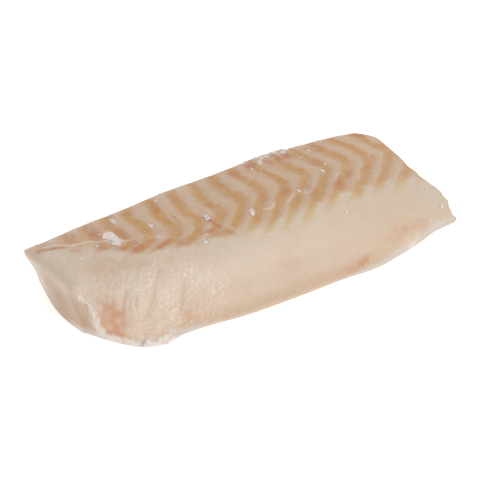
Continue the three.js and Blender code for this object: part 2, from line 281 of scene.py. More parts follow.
def skin_height(point, crest, far, shoulder):
    """Height over the plain slice: bands that fade at the back cut, slow swells, creases, a lump, and the
    fine fibres, grain and lines that only this surface has."""
    x, y, z = np.moveaxis(point, -1, 0)
    on_top = rise(z, 0.6 * crest, 0.25 * crest)
    from_limit = rise(y, size_at(BAND_LIMIT, x), BAND_FADE)
    from_back = 1 - 0.8 * smooth((y - far) / BAND_FADE + 1.2)
    banded = on_top * from_limit * from_back
    count = band_number(x, y)
    height = -BAND_RELIEF * np.cos(2 * math.pi * count) * banded
    for size, along_x, along_y, start in SWELLS:
        height = height + size * np.sin(along_x * x + along_y * y + start)
    side = 1 - rise(y, shoulder - 3, 6)
    broad = near_lines(x, y, CREASES, CREASE_DEPTH, CREASE_WIDTH)
    fine = near_lines(x, y, FINE_CREASES, 0.5 * CREASE_DEPTH, 0.5 * CREASE_WIDTH)
    height = height - np.maximum(broad, fine) * (y < shoulder)
    turned = np.stack([x - y, x + y, z], -1) / math.sqrt(2)
    coarse = side * (1 - 0.8 * rise(x, SMOOTHER_FROM, SMOOTHER_OVER))
    height = height + FIBRE_RELIEF * waves(turned, FIBRE_LENGTH, 11, stretch=(1, 5, 4)) * coarse
    height = height + GRAIN_RELIEF * waves(point, GRAIN_LENGTH, 12) * (0.25 + 0.75 * coarse)
    height = height + LUMP_HEIGHT * np.exp(-((x - LUMP[0]) ** 2 + (y - LUMP[1]) ** 2) / LUMP_REACH**2)
    lines = np.sin(2 * math.pi * LINES_PER_BAND * count + 2 * waves(point, 16, 13))
    return (height + LINE_RELIEF * lines * banded) * rise(z, 0, FOOT_FADE)


def flesh_points():
    """Grid of places: each ring is a slice, pulled to X between the two cuts and lifted by its relief."""
    along, inset, shift, scale = (column[:, None] for column in ring_plan().T)
    place = LEFT + along[:, 0] * (RIGHT - LEFT)
    outline, direction = closed_spline(slice_points(place), STEPS_AROUND)
    outline[..., 1] = np.maximum(outline[..., 1], 0)
    low, high = outline.min(1, keepdims=True), outline.max(1, keepdims=True)
    middle, half = (low + high) / 2, (high - low) / 2
    at_left = left_rounding(outline[..., 0], outline[..., 1])
    rounding = np.where(along < 0.5, at_left, RIGHT_ROUNDING)
    kept = np.maximum(1 - (inset * rounding)[..., None] / half, 0.1) * scale[..., None]
    flat = middle + (outline - middle) * kept
    y, z = flat[..., 0], flat[..., 1]
    thin_edge = np.clip(1 - z / RAGGED_BELOW, 0, 1) * (along * scale) ** 8
    ragged = RAGGED_EDGE * (np.sin(0.83 * y + 1) + 0.6 * np.sin(1.37 * y) + 0.35 * np.sin(3.9 * y))
    left, right = left_cut(y, z) + at_left, right_cut(y, z) - RIGHT_ROUNDING
    x = left + along * (right - left) + shift * rounding + ragged * thin_edge
    sizes = [size_at(table, place)[:, None] for table in (CREST, FAR_EDGE, SHOULDER)]
    out = direction / np.linalg.norm(direction, axis=-1, keepdims=True)
    height = skin_height(np.stack([x, y, z], -1), *sizes) * scale
    return np.stack([x, y - out[..., 1] * height, np.maximum(z + out[..., 0] * height, 0)], -1)


rings = flesh_points()
ring_count, around = rings.shape[:2]
print("flesh grid:", ring_count, "rings of", around)

# %% [markdown]
# ## Setting the surface in the frame
# The solid was centred on its own box after it was made, so the fine surface is moved by the same rule:
# the middle of its length and width onto the frame's origin. A grid that is closed around and at both
# ends needs only quads and two fans, put in with from_pydata.

# %% Flesh mesh
flesh_places = rings.reshape(-1, 3)
cod_middle = np.array([(a + b) / 2 for a, b in zip(cod_low, cod_high)]) / MM
grid_middle = (flesh_places.min(0) + flesh_places.max(0)) / 2
TO_FRAME = np.array([cod_middle[0] - grid_middle[0], cod_middle[1] - grid_middle[1], cod_low[2] / MM])


def tube_faces(rows, columns, first_pole, last_pole):
    """Faces of a grid closed around, and a fan of triangles to a pole at each end, all facing out."""
    here = np.arange(rows * columns).reshape(rows, columns)
    turned = np.roll(here, -1, 1)
    quads = np.stack([here[:-1], here[1:], turned[1:], turned[:-1]], -1).reshape(-1, 4)
    first = np.stack([here[0], turned[0], np.full(columns, first_pole)], -1)
    last = np.stack([turned[-1], here[-1], np.full(columns, last_pole)], -1)
    return quads, first, last


def add_object(name, data):
    """A new object at the origin, put into the scene."""
    made = bpy.data.objects.new(name, data)
    bpy.context.scene.collection.objects.link(made)
    return made


def make_mesh(name, places_mm, faces):
    """Puts places in millimetres and lists of faces into a new object at the origin."""
    mesh = bpy.data.meshes.new(name)
    corners = ((places_mm + TO_FRAME) * MM).tolist()
    mesh.from_pydata(corners, [], [face for kind in faces for face in kind.tolist()])
    mesh.update()
    mesh.shade_smooth()
    return add_object(name, mesh)


poles = np.array([rings[0].mean(0), rings[-1].mean(0)])
body_places = np.concatenate([flesh_places, poles])
body_faces = tube_faces(ring_count, around, len(body_places) - 2, len(body_places) - 1)
flesh = make_mesh("cod_flesh", body_places, body_faces)
normals = np.empty(len(body_places) * 3)
flesh.data.vertices.foreach_get("normal", normals)
normals = normals.reshape(-1, 3)
print("flesh:", len(flesh.data.polygons), "faces; height, mm:", round(float(body_places[:, 2].max()), 1))

# %% [markdown]
# ## The crust of ice
# Where the left cut meets the near side, meltwater has frozen into a crust that runs down the corner
# and on along the foot. Another crust lies on the edge of the back cut. A shell laid over the flesh would
# shade the flesh beside it, which real ice doesn't, because light passes through it. So the surface
# itself is raised along its normals there, and a mask whitens it later.

# %% Crust
# Each route is a list of [x, y, z, half width]
ICE_ROUTES = [
    [(-101.4, -8.5, 26, 1), (-99.6, -10.3, 22.7, 1.4), (-98.2, -12.3, 20.6, 2), (-96.9, -14.3, 17, 2.8),
     (-96, -15.8, 13, 3.4), (-95.2, -16.4, 9.5, 3.4), (-93.4, -17.6, 6, 2.6), (-91.8, -19.2, 3.2, 2.2),
     (-90.5, -21.5, 3, 2.2), (-87, -27.3, 2.8, 2.2), (-82, -33, 2.4, 2.4), (-75, -36.5, 2.2, 2.4),
     (-66, -37, 2.2, 2), (-60, -37.5, 2.2, 0.8)],
    [(22, 39.5, 26.5, 0.8), (29, 39.8, 26.3, 1.8), (36, 40.2, 26, 2.2), (43, 40.4, 25.8, 2),
     (51, 40.6, 25.6, 0.8)]]
ICE_HEIGHT, ICE_LUMPS, ICE_LUMP_LENGTH = 0.6, 0.1, 1.3


def ice_reach(places):
    """How far inside a route each place is: 1 on its line, 0 at its half width, less beyond it, shaken by
    waves of two lengths."""
    reach = np.full(len(places), -9.0)
    for start, end in np.array([ends for route in ICE_ROUTES for ends in zip(route[:-1], route[1:])]):
        run = end[:3] - start[:3]
        t = np.clip((places - start[:3]) @ run / (run @ run), 0, 1)
        off = np.linalg.norm(places - start[:3] - t[:, None] * run, axis=1)
        reach = np.maximum(reach, 1 - off / (start[3] + t * (end[3] - start[3])))
    return reach + 0.22 * waves(places, 4.0, 51) + 0.12 * waves(places, 1.9, 52)


ice = rise(ice_reach(body_places), -0.1, 0.5)
lumps = ICE_LUMPS * waves(body_places, ICE_LUMP_LENGTH, 53)
lift = ice * (ICE_HEIGHT + lumps) * rise(body_places[:, 2], 0, 1.5)
body_places = body_places + normals * lift[:, None]
flesh.data.vertices.foreach_set("co", ((body_places + TO_FRAME) * MM).ravel())
flesh.data.update()
print("raised by ice:", int((ice > 0.5).sum()), "places; greatest lift, mm:", round(float(lift.max()), 2))

# %% [markdown]
# ## Where the colours lie
# Raw cod is never one colour. The skinned side is tan, with brown tissue by the back cut. The side is
# cream with pink mottling, and an orange stain runs down one corner. Painting by hand would do it. Here
# each stain is a mask from 0 to 1, stored on the mesh as an attribute that the material reads. A few
# masks paint light and shade rather than colour: pale flecks of sheen on the near side, and shade along
# the creases and over the left cut.

# %% Stain places
# Each stain is [x, y, reach along, reach across, turn in degrees, strength], seen from above
BROWN_TISSUE = [
    (-72.3, 26.5, 8.5, 3, 90, 0.8), (-61.8, 15.5, 7, 2, 95, 1), (-76.5, 10.5, 3, 3, 0, 0.8),
    (-68.3, 4.5, 4, 2.2, 10, 0.9), (-63, 0, 6.5, 2, 21, 1), (-50.3, -3.1, 6, 1.3, 18, 0.8),
    (-40, -5.8, 6, 1.2, 16, 0.5), (-24.5, -5.5, 4, 1.2, 12, 0.8), (-20, -9.5, 4, 2.3, 0, 0.6),
    (-83.7, 25.2, 8, 2.8, 90, 0.6), (-93, 24.9, 7, 1.5, -36, 0.9), (-86.6, 17.4, 3.5, 2.6, 0, 0.45),
    (-60.3, 34.5, 2, 1.5, 0, 0.7), (-37.5, 31.5, 2.5, 1.3, 90, 0.6), (-38, 26.5, 5.5, 1.6, 80, 0.5),
    (-27, 30, 6, 2, 85, 0.4), (-3.2, 25.5, 7, 3.2, 90, 0.7), (10.2, 30, 5, 3, 90, 0.7),
    (21.2, 32.5, 4.5, 3.2, 60, 0.95), (17.4, 28.5, 2.5, 1.5, 90, 0.5), (31, 30.5, 5, 2.4, 90, 0.8),
    (37.9, 34.5, 3.5, 2, 90, 0.8), (43.7, 32, 4, 3.2, 40, 0.8), (48.5, 37, 2.5, 2, 0, 0.8),
    (60, 33, 6, 4.2, 100, 1), (72.7, 36.5, 3.5, 3, 0, 0.6), (89, 36.5, 4, 3, 0, 0.7),
    (23.5, 1.5, 4.5, 3, 40, 0.7), (34, 0.5, 2.5, 2.2, 0, 0.9), (34.7, -5.5, 5, 1, 35, 0.8),
    (25.7, -4.5, 2.5, 1.5, 0, 0.5), (11.7, 3.5, 3.2, 2.2, 90, 0.6), (51.7, -2.5, 6.5, 1.9, 42, 0.8),
    (85.7, 17.3, 2.5, 1.6, 0, 0.5), (51.2, 18.5, 3.5, 2.4, 90, 0.6), (63.7, 4.5, 6.5, 1.9, 38, 0.6),
    (76.7, 9, 3.5, 1.6, 40, 0.5), (80.7, 0, 4.5, 1.4, 42, 0.4)]
SKIN_TINTS = [
    (-83, -3, 9, 7, -40, 1), (-90.6, 10.3, 6, 5, 0, 0.6), (-76.2, -8, 7, 4.5, 0, 0.9),
    (-66, -9.3, 6, 4, 0, 0.7), (-81.7, -13.9, 4, 4, 0, 0.5), (-52, -14, 10, 3.5, 10, 0.4)]
RED_STREAKS = [
    (-101, 29, 2.5, 2, 0, 0.9), (-96, 26.6, 4, 0.9, -36, 0.6), (-21.3, 0.5, 4.5, 1.3, 100, 1),
    (-19.8, -4.5, 2.5, 1.2, 110, 0.8), (-61.3, 5, 2, 1, 0, 0.7), (-35, 12, 3, 0.6, 90, 0.6),
    (9, 31, 3.5, 2, 90, 0.5), (20.7, 33.5, 3, 2, 60, 0.5), (42, 32.5, 3, 2, 30, 0.6),
    (30.5, 34, 2, 2, 0, 0.5)]
PINK_BLUSH = [
    (-62, -24, 12, 6, 0, 0.5), (-56.5, -20.7, 5, 3, 0, 0.6), (-40, -24, 10, 5, 0, 0.4),
    (-40, -33, 12, 4, 0, 0.6), (-84, -16, 8, 6, 0, 0.4), (49, -35, 16, 4, 0, 0.5),
    (68, -33, 14, 5, 0, 0.6), (10, -27, 12, 6, 0, 0.3)]
ORANGE_STAIN = [
    (-88.5, -25.7, 6, 3.5, -57, 1), (-91.2, -21.5, 5, 3.5, -57, 0.75), (-53.5, -33.6, 3, 1.5, 0, 0.5),
    (43.3, -39.2, 4, 1.1, 0, 0.9), (37, -40, 8, 0.9, -3, 0.5), (72.1, -33.9, 3.5, 1.7, 15, 0.75),
    (68, -34.5, 12, 2.8, 10, 0.4), (85, -31, 5, 2, 10, 0.4), (4.4, -32.9, 6, 4, 0, 0.25)]
# Pale flecks on the near side: partly the flesh's own pale grain, partly a painted sheen where the wet
# flesh sparkles
SHEEN_AND_GRAIN = [
    (-69, -19.5, 8, 5, 0, 1), (-77, -15, 7, 5, 0, 0.8), (-47.5, -21.8, 6, 4, 0, 0.9),
    (-64, -29, 8, 4, 0, 0.7), (-80, -24, 4, 4, 0, 0.6), (-37, -30, 6, 4, 0, 0.6),
    (-55, -15, 8, 4, 0, 0.5)]
FROSTING = [
    (-68, 15, 4.5, 8, 0, 0.8), (-88.5, 8.5, 4, 2, 0, 0.6), (-49, 4, 2.5, 4, 0, 0.5),
    (45, 37.5, 5, 3, 0, 0.8), (32, 37, 5, 3, 0, 0.9), (27.5, 33.8, 3, 4, 0, 0.5),
    (20, 28.5, 5, 0.9, 75, 0.6), (31, -1.5, 3.5, 4, 0, 0.5), (56, 31, 2, 5, 0, 0.5),
    (-78, -35.5, 14, 2.2, 0, 0.7), (74, -37.5, 8, 1.8, 12, 0.8), (96, -32, 8, 3, 0, 0.5),
    (22, -4, 5, 0.8, 36, 0.6)]
DARK_SPOT = [
    (-79.4, -34.4, 2.2, 0.7, 0, 0.9), (-0.3, 25.5, 0.9, 1.3, 0, 0.7), (-35, 7, 0.8, 0.8, 0, 0.5)]
GREY_FLESH = [
    (102, -18, 10, 16, 0, 0.9), (98, -32, 9, 6, 0, 0.8), (103, 4, 4, 14, 0, 0.6)]

# On the left cut each stain is [y, z, reach along, reach across, turn, strength]
CUT_STREAKS = [
    (4, 13, 8, 8, 0, 0.75), (-4.4, 20, 3, 4.5, 0, 0.4), (-1, 7, 6, 4.5, 0, 0.5)]
CUT_ORANGE = [
    (-15, 4.5, 4.5, 3, 0, 0.9), (-11.3, 9.3, 3, 4, 0, 0.5), (-9, 4, 4, 2.5, 0, 0.5)]

# Thin pale threads of tissue: [strength, places from above]
THREADS = [
    (1, [(-98, 32.1), (-90.2, 26), (-83.7, 20.5), (-78.7, 19.5), (-75.2, 17.4), (-71.6, 15.2),
         (-65.2, 11.3), (-60.9, 9.2)]),
    (0.7, [(6.2, -4), (8.2, -5.9), (10.7, -5.7), (13.7, -2.7)]),
    (0.5, [(20.1, -5.3), (26.6, -1.6)]),
    (0.2, [(-60.9, 9.2), (-53.9, 8.5), (-47.3, 0.5), (-37.9, -3.4), (-30.9, -3.5)])]
THREAD_WIDTH = 0.5

# Height of the pale rim along the foot: [place along X, height]
RIM_HEIGHT = [(-95, 5), (-60, 5), (-45, 3.2), (40, 3.2), (60, 4.6), (82, 4.6), (107, 4)]

# How far the tan of a band leans to one side of its groove: [place along X, lean] on the far arms
BAND_LEAN = [(-60, 0.25), (12, 0.3), (40, 0.6), (95, 0.6)]
NEAR_BAND_LEAN = -0.4
# The share of a band's count where its tan is darkest, and how much earlier that is on the near arms
TAN_AT, NEAR_SHIFT = 0.96, 0.08


def stain(a, b, spots, edge=0.0):
    """The strongest of the spots. Each one falls off as a bell with distance, measured along and across
    its own turned axis. Edge shakes the distance, so that the outline isn't a plain ellipse."""
    mask = np.zeros_like(a)
    for middle_a, middle_b, along, across, turn, strength in spots:
        c, s = math.cos(math.radians(turn)), math.sin(math.radians(turn))
        length = ((a - middle_a) * c + (b - middle_b) * s) / along
        width = ((b - middle_b) * c - (a - middle_a) * s) / across
        mask = np.maximum(mask, strength * np.exp(-np.clip(length**2 + width**2 + edge, 0, None)))
    return mask


def threads(x, y):
    """Thin lines along the threads' routes, each as strong as its table says."""
    return np.max([near_lines(x, y, zip(route[:-1], route[1:]), strength, THREAD_WIDTH)
                   for strength, route in THREADS], 0)


print("brown stains:", len(BROWN_TISSUE), "orange:", len(ORANGE_STAIN), "frosted places:", len(FROSTING))

# %% Fields that the masks share
x, y, z = body_places.T
crest = size_at(CREST, x)
slow, quick, fine = (waves(body_places, length, seed) for length, seed in ((17, 21), (5, 22), (2.2, 23)))
wobble = 0.3 * slow + 0.25 * quick

limit = size_at(BAND_LIMIT, x) + slow + 0.5 * quick
past_limit = rise(y, limit, BAND_FADE)
on_near_arm = fall(y - size_at(POINT_LINE, x), 4, 8)
cut_face = fall(x, left_cut(y, z) + 4.5, 4)
back_cut = rise(normals[:, 1], 0.5, 0.4)
upper = rise(z, 0.5 * crest, 0.25 * crest) * (1 - 0.7 * cut_face) * (1 - 0.85 * back_cut)
outer = rise(z, 0.2, 0.6) * (1 - cut_face)
on_side = fall(y, 2, 8)
print("places on the left cut:", int((cut_face > 0.5).sum()))

# %% Masks on the flesh
masks = {
    "band_count": band_number(x, y) + 0.03 * slow + 0.015 * quick - TAN_AT + NEAR_SHIFT * on_near_arm,
    "band_lean": size_at(BAND_LEAN, x) * (1 - on_near_arm) + NEAR_BAND_LEAN * on_near_arm,
    "band_strength": past_limit * upper * (0.45 + 0.55 * rise(x, -84, 16))
    * (1 - 0.12 * on_near_arm) * (1 - 0.12 * rise(x, 60, 25)),
    "band_tip": rise(y, limit - 5, 5) * fall(y, limit + 9, 8) * upper * rise(x, -14, 16),
    "skinned_side": past_limit * upper * (1 - 0.25 * rise(x, 55, 35)),
    "near_warmth": past_limit * upper * on_near_arm,
    "right_warmth": rise(x, 15, 30) * fall(y, limit, 10) * outer,
    "side_flecks": (0.35 + 0.65 * fall(x, -20, 30)) * fall(y, limit, 8) * outer,
    "fibres_here": 0.25 + 0.75 * fall(x, SMOOTHER_FROM + SMOOTHER_OVER, SMOOTHER_OVER) * on_side,
    "lower_side": fall(z, 25, 12) * on_side * (1 - cut_face),
    "tan_foot": fall(z, 11, 6) * rise(z, 1.5, 2.5) * rise(x, -80, 22)
    * (1 - 0.75 * rise(x, 52, 12)) * on_side,
    "foot_rim": fall(z, size_at(RIM_HEIGHT, x), 2) * on_side,
    # The left cut is greyer and browner partly in its own tone and partly as painted shade, darker towards
    # its foot
    "left_cut_tone_and_shade": fall(x, left_cut(y, z) + 9, 9) * fall(z, 34, 6),
    "cut_brown_and_shade": fall(z, 26, 10) * fall(x, left_cut(y, z) + 6, 5) * fall(y, 32, 20),
    "cut_streak": stain(y, z, CUT_STREAKS, 0.4 * slow) * cut_face,
    "back_cut": back_cut * rise(z, 1, 6),
    # Painted shade: this mask darkens the flesh along the grooves of the creases
    "crease": near_lines(x, y, CREASES + FINE_CREASES, 1, 0.9) * outer,
    "thread": threads(x, y + 0.15 * quick) * rise(z, 15, 3),
    "ice": ice,
}
# Each row is (mask, its spots seen from above, what shakes their outline, where they may show)
for name, spots, shake, where in [
        ("brown_tissue", BROWN_TISSUE, wobble, upper), ("red_streak", RED_STREAKS, 0.3 * fine, upper),
        ("skin_tint", SKIN_TINTS, wobble, 1 - cut_face), ("pink_blush", PINK_BLUSH, wobble, outer),
        ("orange_stain", ORANGE_STAIN, wobble, outer), ("sheen_and_grain", SHEEN_AND_GRAIN, wobble, outer),
        ("grey_flesh", GREY_FLESH, 0.3 * slow, outer), ("frosting", FROSTING, wobble + 0.4 * fine, outer),
        ("dark_spot", DARK_SPOT, 0.3 * quick, outer)]:
    masks[name] = stain(x, y, spots, shake) * where
masks["orange_stain"] = np.maximum(masks["orange_stain"], stain(y, z, CUT_ORANGE, wobble) * cut_face)
for name, mask in masks.items():
    flesh.data.attributes.new(name, "FLOAT", "POINT").data.foreach_set("value", mask.astype(np.float32))
# The fine lines follow the bands: along X this place counts bands, and it hardly changes along them
muscle = np.stack([BAND_PITCH * band_number(x, y), 0.15 * y, 0.15 * z], -1)
flesh.data.attributes.new("muscle", "FLOAT_VECTOR", "POINT").data.foreach_set("vector", muscle.ravel())
print("masks on the flesh:", len(masks))

# %% [markdown]
# ## A short way to place nodes
# The materials need many nodes of a few kinds: attributes, sums, smooth steps and layers of colour. They
# could be placed and linked one by one, but then the order of the stains would be lost among the links.
# A board over the node tree makes each kind with one short call that gives back its output.

# %% Node board


class Board:
    """A node tree to build on. Each call makes one node and returns its output."""

    def __init__(self, tree):
        self.nodes, self.links = tree.nodes, tree.links

    def fill(self, sockets, values):
        """Feeds each named socket: by a link from another node's output, or else with a plain value."""
        for name, value in values.items():
            if isinstance(value, bpy.types.NodeSocket):
                self.links.new(value, sockets[name])
            else:
                sockets[name].default_value = value

    def node(self, kind, output, values, **settings):
        made = self.nodes.new(kind)
        for setting, value in settings.items():
            setattr(made, setting, value)
        self.fill(made.inputs, values)
        return made.outputs[output]

    def group(self, tree, output, **values):
        return self.node("ShaderNodeGroup", output, values, node_tree=tree)

    def mask(self, name, output="Fac"):
        return self.node("ShaderNodeAttribute", output, {}, attribute_name=name)

    def maths(self, operation, *values):
        return self.node("ShaderNodeMath", "Value", dict(enumerate(values)), operation=operation)

    def times(self, *values):
        """All the values multiplied together."""
        product = values[0]
        for value in values[1:]:
            product = self.maths("MULTIPLY", product, value)
        return product

    def noise(self, place, scale, detail, roughness=0.5):
        values = {"Vector": place, "Scale": scale, "Detail": detail, "Roughness": roughness}
        return self.node("ShaderNodeTexNoise", "Fac", values)

    def ramp(self, value, low, high, at_low=0.0, at_high=1.0):
        """A smooth step from one level to another as a value passes from low to high."""
        values = {"Value": value, "From Min": low, "From Max": high, "To Min": at_low, "To Max": at_high}
        return self.node("ShaderNodeMapRange", "Result", values, interpolation_type="SMOOTHSTEP")

    def layer(self, under, over, factor):
        """One colour laid over another by a factor."""
        values = {"Factor": factor, "A": under, "B": over}
        return self.node("ShaderNodeMix", "Result", values, data_type="RGBA")

    def bump(self, height, strength, distance):
        values = {"Height": height, "Strength": strength, "Distance": distance}
        return self.node("ShaderNodeBump", "Normal", values)


def new_material(name):
    """A material, a board to build it on, and the sockets of its shader."""
    material = bpy.data.materials.new(name)
    material.use_nodes = True
    return material, Board(material.node_tree), material.node_tree.nodes["Principled BSDF"].inputs


def srgb(red, green, blue):
    """A screen colour from 0 to 255 as the linear values that shaders take."""
    values = np.array([red, green, blue]) / 255
    linear = np.where(values <= 0.04045, values / 12.92, ((values + 0.055) / 1.055) ** 2.4)
    return (*linear.tolist(), 1.0)


print("middle grey, linear:", round(srgb(128, 128, 128)[0], 3))

# %% [markdown]
# ## Effects that the materials share
# Both flesh and frost need soft uneven blotches, and the flesh needs fibres for its colour and its
# surface. Each is a node group with named inputs, built once, and every use of it sets its own scale and
# levels. A group gives out only masks and heights; the shader itself stays in each material.

# %% Shared node groups


def new_group(name, inputs, output):
    """A node group with float sockets: its tree, a board, what it is given and where its result goes."""
    tree = bpy.data.node_groups.new(name, "ShaderNodeTree")
    for socket, value in inputs.items():
        made = tree.interface.new_socket(name=socket, in_out="INPUT", socket_type="NodeSocketFloat")
        made.default_value = value
    tree.interface.new_socket(name=output, in_out="OUTPUT", socket_type="NodeSocketFloat")
    given, result = tree.nodes.new("NodeGroupInput"), tree.nodes.new("NodeGroupOutput")
    return tree, Board(tree), given.outputs, result.inputs


def soft_blotches():
    """Noise on Object coordinates, cut to a soft mask between two levels."""
    tree, board, given, result = new_group("soft_blotches", {"Scale": 100, "Low": 0.4, "High": 0.6}, "Mask")
    place = board.node("ShaderNodeTexCoord", "Object", {})
    noise = board.noise(place, given["Scale"], 3, 0.55)
    board.fill(result, {"Mask": board.ramp(noise, given["Low"], given["High"])})
    return tree


def flesh_fibres():
    """Noise on Object coordinates, turned 45 degrees and stretched the way the fibres of this loin run."""
    tree, board, given, result = new_group("flesh_fibres", {"Scale": 900, "Detail": 3}, "Height")
    place = board.node("ShaderNodeTexCoord", "Object", {})
    values = {"Vector": place, "Rotation": (0, 0, math.radians(-45)), "Scale": (1, 7, 5)}
    turned = board.node("ShaderNodeMapping", "Vector", values, vector_type="TEXTURE")
    board.fill(result, {"Height": board.noise(turned, given["Scale"], given["Detail"])})
    return tree


BLOTCHES, FIBRES = soft_blotches(), flesh_fibres()
print("shared groups:", BLOTCHES.name, FIBRES.name)

# %% [markdown]
# ## Colours of the flesh
# The material starts as plain cream and lays one stain over another, as light passes through layers of
# muscle and tissue. Each layer is a Mix node whose factor is a mask, mostly one from the mesh and often
# broken up by blotches. Light also travels a little way through raw fish, so the shader has some
# subsurface, and a thin wet coat. A few layers paint light: pale flecks of sheen on the near side, and
# shade along the creases and over the left cut, darker towards its foot.

# %% Flesh colours
# Some of these colours paint light: the pale grain colour is also a painted sheen, the left cut's grey and
# brown carry painted shade, and the crease colour is painted shade
CREAM, WARM_CREAM, PALE_CREAM = srgb(211, 193, 173), srgb(206, 183, 158), srgb(222, 207, 190)
LOWER_WARM, FOOT_TAN, RIM_PALE = srgb(204, 181, 159), srgb(196, 167, 139), srgb(208, 199, 190)
SKINNED_PALE, SKINNED_WARM, BAND_TAN = srgb(203, 173, 147), srgb(198, 163, 129), srgb(194, 144, 80)
TIP_YELLOW, SHEEN_AND_GRAIN_PALE, SKIN_TINT = srgb(206, 178, 128), srgb(230, 216, 204), srgb(203, 171, 141)
CUT_GREY_AND_SHADE, CUT_BROWN_AND_SHADE, STREAK_BROWN = srgb(200, 182, 161), srgb(181, 153, 127), srgb(166, 134, 114)
TISSUE_BROWN, TISSUE_RED, PINK = srgb(188, 124, 80), srgb(181, 104, 84), srgb(209, 179, 158)
ORANGE, GREY, CREASE_SHADE = srgb(196, 145, 110), srgb(210, 201, 188), srgb(198, 168, 143)
THREAD_PALE, FROST_WHITE, OLIVE_DARK = srgb(234, 215, 192), srgb(226, 214, 207), srgb(142, 118, 84)
ICE_WHITE, ICE_SHADE = srgb(228, 217, 209), srgb(203, 184, 168)
# Blotches from the widest to the smallest: [scale, low level, high level]
BLOTCH_KINDS = [(45, 0.38, 0.68), (130, 0.35, 0.7), (330, 0.42, 0.66), (700, 0.44, 0.66)]
COLOUR_FIBRES, RELIEF_FIBRES = {"Scale": 420, "Detail": 3}, {"Scale": 700, "Detail": 4}
FIBRE_SHAKE = 0.14


def band_wave(board, fibres):
    """1 where a band's tan is darkest and 0 midway between: the cosine of the band's count as a full turn,
    shaken by the fibres and leaned to one side, then eased."""
    shaken = board.maths("MULTIPLY_ADD", fibres, FIBRE_SHAKE, board.mask("band_count"))
    turn = board.maths("MULTIPLY", board.maths("SUBTRACT", shaken, FIBRE_SHAKE / 2), 2 * math.pi)
    lean = board.maths("SUBTRACT", 1.0, board.maths("COSINE", turn))
    leaned = board.maths("MULTIPLY_ADD", lean, board.mask("band_lean"), turn)
    return board.ramp(board.maths("COSINE", leaned), -0.7, 1.0)


def flesh_colour(board):
    """Lays every stain over plain cream. Returns the last colour, and the masks that the relief needs."""
    wide, middling, flecks, small = (
        board.group(BLOTCHES, "Mask", Scale=scale, Low=low, High=high) for scale, low, high in BLOTCH_KINDS)
    fibres = board.group(FIBRES, "Height", **COLOUR_FIBRES)
    streaks = board.times(board.ramp(fibres, 0.4, 0.65), board.mask("fibres_here"))
    lines = board.ramp(board.noise(board.mask("muscle", "Vector"), 0.9, 4), 0.4, 0.66)
    wave = band_wave(board, fibres)
    band = board.times(wave, board.ramp(middling, 0, 1, 0.84, 1.0), board.mask("band_strength"))
    tip = board.times(wave, board.mask("band_tip"))
    back_bands = board.times(wave, board.mask("back_cut"))

    # Each layer is (colour, a mask's name or an output, strength, what breaks it up if anything does)
    layers = [
        (WARM_CREAM, wide, 0.25), (PALE_CREAM, streaks, 0.22), (LOWER_WARM, "lower_side", 0.85),
        (PALE_CREAM, middling, 0.16), (PINK, "pink_blush", 0.7, middling), (FOOT_TAN, "tan_foot", 0.85),
        # The left cut's grey and brown layers carry painted shade as well as the cut's tone, and the pale
        # flecks after them are partly a painted sheen
        (GREY, "grey_flesh", 0.85), (WARM_CREAM, "right_warmth", 0.45), (CUT_GREY_AND_SHADE, "left_cut_tone_and_shade", 0.8),
        (CUT_BROWN_AND_SHADE, "cut_brown_and_shade", 0.85), (PALE_CREAM, "sheen_and_grain", 0.7, flecks),
        (SHEEN_AND_GRAIN_PALE, "sheen_and_grain", 0.8, small), (PINK, "side_flecks", 0.35, flecks),
        (SHEEN_AND_GRAIN_PALE, "side_flecks", 0.3, small), (SKIN_TINT, "skin_tint", 0.6),
        (SKINNED_PALE, "skinned_side", 0.95), (SKINNED_WARM, "skinned_side", 0.35, middling),
        (SKINNED_WARM, "near_warmth", 0.45), (PALE_CREAM, "skinned_side", 0.16, lines),
        (TIP_YELLOW, tip, 0.75), (BAND_TAN, band, 0.95), (SKINNED_WARM, back_bands, 0.2),
        (SKINNED_WARM, "back_cut", 0.25, middling), (PALE_CREAM, "skinned_side", 0.1, flecks),
        (TISSUE_BROWN, "brown_tissue", 0.9), (ORANGE, "orange_stain", 0.9), (TISSUE_RED, "red_streak", 0.8),
        # The crease layer on the next line is painted shade along the grooves
        (STREAK_BROWN, "cut_streak", 0.7), (CREASE_SHADE, "crease", 0.45), (RIM_PALE, "foot_rim", 0.75),
        (ICE_WHITE, "ice", 0.85), (ICE_SHADE, "ice", 0.55, flecks), (OLIVE_DARK, "dark_spot", 0.7),
        (THREAD_PALE, "thread", 0.8), (FROST_WHITE, "frosting", 0.7, middling)]
    colour = CREAM
    for over, mask, *strengths in layers:
        mask = board.mask(mask) if isinstance(mask, str) else mask
        colour = board.layer(colour, over, board.times(mask, *strengths))
    return colour, middling, small, lines


print("tan of the bands, linear:", [round(v, 3) for v in BAND_TAN[:3]])

# %% Flesh material


def flesh_material():
    """The colour, a roughness that varies with the blotches, and relief from fibres, grain and lines."""
    material, board, shader = new_material("raw_cod_flesh")
    colour, middling, small, lines = flesh_colour(board)
    fibres = board.times(board.group(FIBRES, "Height", **RELIEF_FIBRES), board.mask("fibres_here"))
    grain = board.times(small, board.mask("sheen_and_grain"))
    lined = board.times(lines, board.mask("skinned_side"))
    height = board.maths("MULTIPLY_ADD", grain, 0.6, fibres)
    height = board.maths("MULTIPLY_ADD", lined, 0.25, height)
    board.fill(shader, {
        "Base Color": colour,
        "Roughness": board.ramp(middling, 0, 1, 0.36, 0.55),
        "Normal": board.bump(height, 0.35, 0.0005),
        "Subsurface Weight": 0.25,
        "Subsurface Radius": (1.0, 0.55, 0.35),
        "Subsurface Scale": 0.003,
        "Specular IOR Level": 0.4,
        "Coat Weight": 0.1,
        "Coat Roughness": 0.3})
    return material


flesh.data.materials.append(flesh_material())
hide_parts("cod_fillet")
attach(flesh, "root")
print("flesh material nodes:", len(flesh.data.materials[0].node_tree.nodes))

